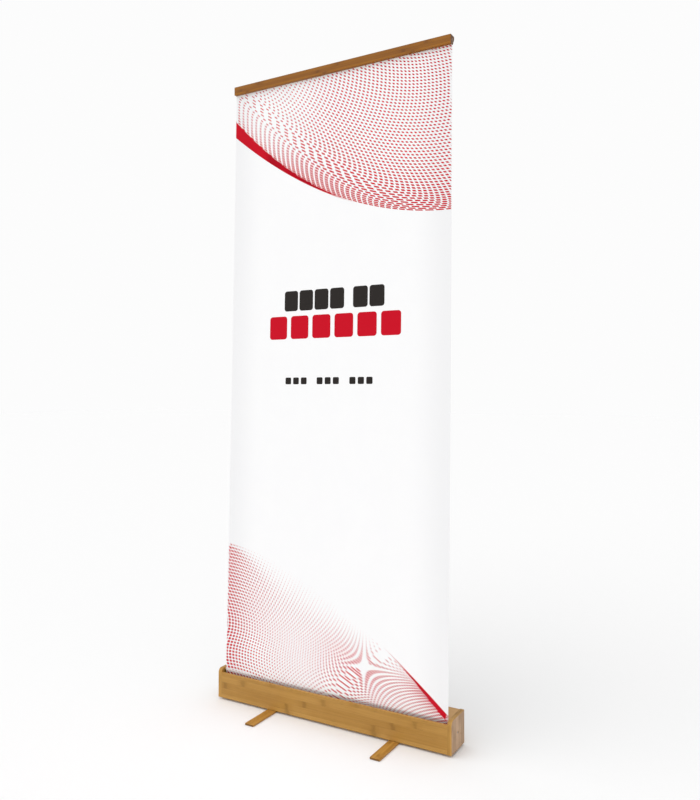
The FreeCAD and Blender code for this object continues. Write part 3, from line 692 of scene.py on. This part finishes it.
class UpperField:
    """Dashes on lines that echo a limit, which sweeps down from the left edge, and open out above it."""
    limit_low = 1554          # height of the limit at the right edge, and how much it climbs to the left
    limit_climb = 346
    band_thick = 56           # the solid band at the left edge, and how far it reaches
    band_reach = 496
    band_from, band_to = LEFT, 84
    band_side = 1
    row_gap = 10.2
    row_gap_less = 0.8        # how much nearer the rows are at the right
    opening = 0.0015          # how fast the rows open out with their height over the limit
    crowding = 4              # how many rows more there are just over the limit, and how high that reaches
    crowding_height = 35
    column_gap = 18.5
    wave_width = 28.0         # of the columns' swing, and how far over the limit it is in mid-sheet
    wave_height = 88
    wave_slope = 0.25
    back_lean = 0.7           # how the columns lean back above the swing, and how that grows
    back_curve = 0.00175
    foot_swing = 24           # how the columns swing at the limit, and how high that reaches
    foot_height = 28
    ink_share = 0.47
    bolder = 0.27             # how much more ink there is just over the limit, and how high that reaches
    bold_height = 90
    paler = 0.13              # how much less there is at the upper left, beyond a leaning line
    pale_height = 1900        # where that line passes the middle of the sheet
    pale_lean = 0.2
    pale_width = 260
    pale_rise = 110           # how far over the limit it is all there
    solid_more = 0.5          # how much more there is at the band, left of solid_end
    solid_end = 120
    start_low = 1545          # heights on the right edge, from under the limit to past the sheet's top
    start_high = 2100

    def limit(self, x):
        return self.limit_low + self.limit_climb * from_right(x) ** 1.9

    def band(self, x):
        """Height of the solid band that lies on the limit and thins to nothing past the middle."""
        return self.band_thick * np.clip(1 - (x - LEFT) / self.band_reach, 0, 1) ** 2

    def above(self, x, z):
        return np.clip(z - self.limit(x), 0, None)

    def rows(self, x, z):
        """Whole numbers are the lines that the dashes follow; they crowd together over the limit."""
        height = z - self.limit(x)
        row_gap = self.row_gap - self.row_gap_less * soft_step((x + 200) / 500)
        spread = np.log1p(self.opening * np.clip(height, -50, None) / row_gap) / self.opening
        return spread - self.crowding * np.exp(-self.above(x, z) / self.crowding_height)

    def phase(self, x, z):
        """Whole numbers are the middles of the dashes; their columns swing in a wave."""
        width = self.wave_width
        height = self.above(x, z)
        ahead = height - (self.wave_height - self.wave_slope * x)
        back = soft_ramp(ahead - 1.6 * width, width)
        swing = 2.0 * width * (np.tanh(ahead / width) + 1) - (self.back_lean + self.back_curve * back) * back
        foot = self.foot_swing * np.exp(-height / self.foot_height)
        return (x - swing - foot) / self.column_gap

    def ends(self, x, z):
        """The dashes' ends lie along the lines on which this keeps its value."""
        return self.rows(x, z) + self.phase(x, z)

    def fill(self, x, z):
        """How much of the pitch the ink takes, from one row to the next."""
        band = self.band(x)
        above = self.above(x, z)
        solid = np.exp(-(above - 0.6 * band) / (0.35 * band + 1.5)) * (x < self.solid_end)
        past_line = -(x + self.pale_lean * (self.pale_height - z)) / self.pale_width
        pale = soft_step(past_line + 0.1) * soft_step(above / self.pale_rise)
        bold = np.exp(-above / self.bold_height) * soft_step((x - LEFT) / 300)
        share = self.ink_share - self.paler * pale + self.bolder * bold
        return np.clip(share + self.solid_more * solid, 0, 1)

    def dash(self, x, z):
        """The same along a row."""
        return np.clip(self.fill(x, z) + 0.04, 0, 1)

    def inside(self, x, z):
        return (z > self.limit(x)) & (z < PRINT_TOP)

    def starts(self):
        """Every row's place on the right edge."""
        heights = np.linspace(self.start_low, self.start_high, 3000)
        count = self.rows(RIGHT, heights)
        rows = np.arange(math.ceil(count.min()), math.floor(count.max()) + 1)
        return np.full(len(rows), RIGHT), np.interp(rows, count, heights)


class LowerField:
    """A fine lattice that fades upwards, with a four-pointed gap, gathering into the lower right corner."""
    limit_high = 520          # height of the limit at the left edge, and how much it falls to the right
    limit_fall = 413
    band_thick = 20           # the solid band at the right edge, and where it starts
    band_start = 170
    band_from, band_to = 186, RIGHT
    band_side = -1
    gap_x = 127.0             # middle of the gap
    gap_z = 201.0
    gap_wide = 95             # how far the lines round the gap run before they straighten out
    gap_tall = 60
    gap_area = 760            # the larger, the wider apart those lines are
    columns_off = 110         # how far left of the gap the even columns start, and how softly
    columns_soft = 45
    column_gap = 13
    row_gap = 10.4            # at the left edge
    row_count = 71
    right_gap = 0.25          # the share of it at the right edge
    ink_share = 0.3
    near_gap_more = 0.25      # how much more ink there is round the gap, and how far round it
    near_gap_wide = 300
    near_gap_tall = 170
    left_more = 0.39          # how much more there is at the left edge, and how far in from it
    left_reach = 150
    solid_more = 0.55         # how much more there is at the band

    def limit(self, x):
        return self.limit_high - self.limit_fall * from_left(x) ** 1.6

    def band(self, x):
        return self.band_thick * soft_step((x - self.band_start) / (RIGHT - self.band_start)) ** 1.5

    def below(self, x, z):
        return np.clip(self.limit(x) - z, 0, None)

    def rows(self, x, z):
        """Whole numbers are the lines that the dashes follow; they draw together to the right."""
        gather = self.right_gap + (1 - self.right_gap) * from_right(x) ** 0.35
        return (self.limit(x) - z) / (self.row_gap * gather)

    def phase(self, x, z):
        """A saddle round the gap, which turns into even columns to the left of it."""
        across, up = x - self.gap_x, z - self.gap_z
        turn = across / self.gap_wide
        wide = self.gap_wide * np.where(across < 0, np.tanh(turn), np.arcsinh(turn))
        tall = self.gap_tall * np.arcsinh(up / self.gap_tall)
        columns = soft_ramp(-(across + self.columns_off), self.columns_soft) / self.column_gap
        return self.rows(x, z) - wide * tall / self.gap_area - 0.75 + columns

    def fill(self, x, z):
        """How much of the pitch the ink takes, from one row to the next."""
        across, up = x - self.gap_x, z - self.gap_z
        off_gap = (across / self.near_gap_wide) ** 2 + (up / self.near_gap_tall) ** 2
        near_gap = np.exp(-off_gap) * soft_step((x + 160) / 270)
        left_edge = np.exp(-(x - LEFT) / self.left_reach)
        right = soft_step((x - 100) / 250)
        fading = 20 + 150 * soft_step((x + 420) / 260) * (1 - right)
        fade = soft_step(self.below(x, z) / fading + 0.15) ** 0.7
        solid = np.exp(-self.below(x, z) / (6 + 34 * right)) * right
        share = self.ink_share + self.near_gap_more * near_gap + self.left_more * left_edge
        return np.clip(share * fade + self.solid_more * solid, 0, 1)

    def dash(self, x, z):
        return self.fill(x, z)

    def ends(self, x, z):
        return self.phase(x, z)

    def inside(self, x, z):
        return (z < self.limit(x)) & (z > PRINT_LOW)

    def starts(self):
        """Every row's place on the left edge."""
        rows = np.arange(1, self.row_count + 1)
        return np.full(len(rows), LEFT), self.limit(LEFT) - rows * self.row_gap


def follow(field):
    """Walks from every start along its own row, and returns the places passed, steps by x or z by rows."""
    x, z = field.starts()
    row = field.rows(x, z)
    path = [(x, z)]
    for _ in range(ROW_STEPS):
        along_x, along_z = slope(field.rows, x, z)
        pace = -ROW_STEP / np.hypot(along_x, along_z)
        x, z = x + pace * along_z, z - pace * along_x
        along_x, along_z = slope(field.rows, x, z)
        drift = (field.rows(x, z) - row) / (along_x ** 2 + along_z ** 2)
        x, z = x - drift * along_x, z - drift * along_z
        path.append((x, z))
    return np.array(path)


def add_dashes(field, ink_at):
    """Inks each stretch of a row where the phase is near a whole number, in ink_at(height)."""
    path = follow(field)
    x, z = path[:, 0], path[:, 1]
    phase = field.phase(x, z)
    ink = field.dash(x, z) / 2 - np.abs(phase - np.round(phase))
    on_print = field.inside(x, z) & (np.abs(x) <= HALF_WIDTH)
    ink = np.where(on_print, ink, -1.0)
    ink[0], ink[-1] = -1.0, -1.0
    steps = np.arange(len(path))
    for row in range(path.shape[2]):
        wet = ink[:, row] > 0
        firsts = np.flatnonzero(wet[1:] & ~wet[:-1]) + 1
        lasts = np.flatnonzero(wet[:-1] & ~wet[1:])
        for first, last in zip(firsts, lasts):
            start = first - ink[first, row] / (ink[first, row] - ink[first - 1, row])
            end = last + ink[last, row] / (ink[last, row] - ink[last + 1, row])
            places = np.concatenate([[start], np.arange(first, last + 1), [end]])
            middle_x = np.interp(places, steps, x[:, row])
            middle_z = np.interp(places, steps, z[:, row])
            along_x, along_z = slope(field.rows, middle_x, middle_z)
            end_x, end_z = slope(field.ends, middle_x, middle_z)
            onward = end_x * along_z - end_z * along_x
            lean = -(end_x * along_x + end_z * along_z) / np.where(np.abs(onward) < 1e-9, 1e-9, onward)
            lean = np.clip(lean, -MOST_LEAN, MOST_LEAN)
            reach = field.fill(middle_x, middle_z) / 2 / (along_x ** 2 + along_z ** 2)
            side = np.stack([along_x + lean * along_z, along_z - lean * along_x], axis=-1) * reach[:, None]
            middle = np.stack([middle_x, middle_z], axis=-1)
            ink_at(middle_z.mean()).ribbon(middle - side, middle + side)


def add_band(ink, field):
    """The solid band that lies on a field's limit."""
    x = np.linspace(field.band_from, field.band_to, 120)
    edge = field.limit(x)
    far_edge = edge + field.band_side * field.band(x)
    ink.ribbon(np.stack([x, edge], axis=-1), np.stack([x, far_edge], axis=-1))


def add_blocks(ink, starts, width, low, high, corner):
    """A row of solid blocks with rounded corners, which stand where a heading's letters would be."""
    for start in starts:
        turn = np.linspace(0, math.pi / 2, 7)
        inset = corner * (1 - np.cos(turn))
        drop = corner * (1 - np.sin(turn))
        x = np.concatenate([start + inset, np.linspace(start + corner, start + width - corner, 9)[1:-1],
                            start + width - inset[::-1]])
        cut = np.concatenate([drop, np.zeros(7), drop[::-1]])
        ink.ribbon(np.stack([x, low + cut], axis=-1), np.stack([x, high - cut], axis=-1))


def make_upper_print(red):
    field, ink = UpperField(), Print()
    add_dashes(field, lambda height: ink)
    add_band(ink, field)
    return ink.make("print_upper", red)


def make_lower_print(red):
    """The lower field, in two pieces: on the sheet, and on the leader below it."""
    field, on_cloth, on_leader = LowerField(), Print(), Print()
    foot = SHEET_LOW.z / MM
    add_dashes(field, lambda height: on_cloth if height > foot else on_leader)
    add_band(on_cloth, field)
    print_lower = on_cloth.make("print_lower", red)
    on_leader.make("print_leader", red, lowers=False)
    return print_lower


def make_heading(red, black):
    """Three rows of blocks: dark ones in two groups, wide red ones, and small dark ones in three groups."""
    dark, bright, small = Print(), Print(), Print()
    dark_starts = (-184, -126, -68, -10, 74, 132)
    bright_starts = [-241 + 82.8 * number for number in range(6)]
    small_starts = [-176 + 30 * number for number in range(11) if number not in (3, 7)]
    add_blocks(dark, dark_starts, width=52, low=1286, high=1352, corner=9)
    add_blocks(bright, bright_starts, width=68, low=1195, high=1270, corner=10)
    add_blocks(small, small_starts, width=22, low=1048, high=1070, corner=4)
    return [dark.make("heading_dark", black), bright.make("heading_red", red),
            small.make("heading_small", black)]


# ---- put together ----

make_camera()
make_floor()
make_light()
dress_wood()
dress_hardware()
film = banner_film("banner_film")
red_ink = printed_ink("red_ink", linear(204, 6, 34))
black_ink = printed_ink("black_ink", linear(44, 40, 38))
banner = make_sheet(film)
make_leader(film)
make_roll(film)
upper_print = make_upper_print(red_ink)
lower_print = make_lower_print(red_ink)
heading = make_heading(red_ink, black_ink)
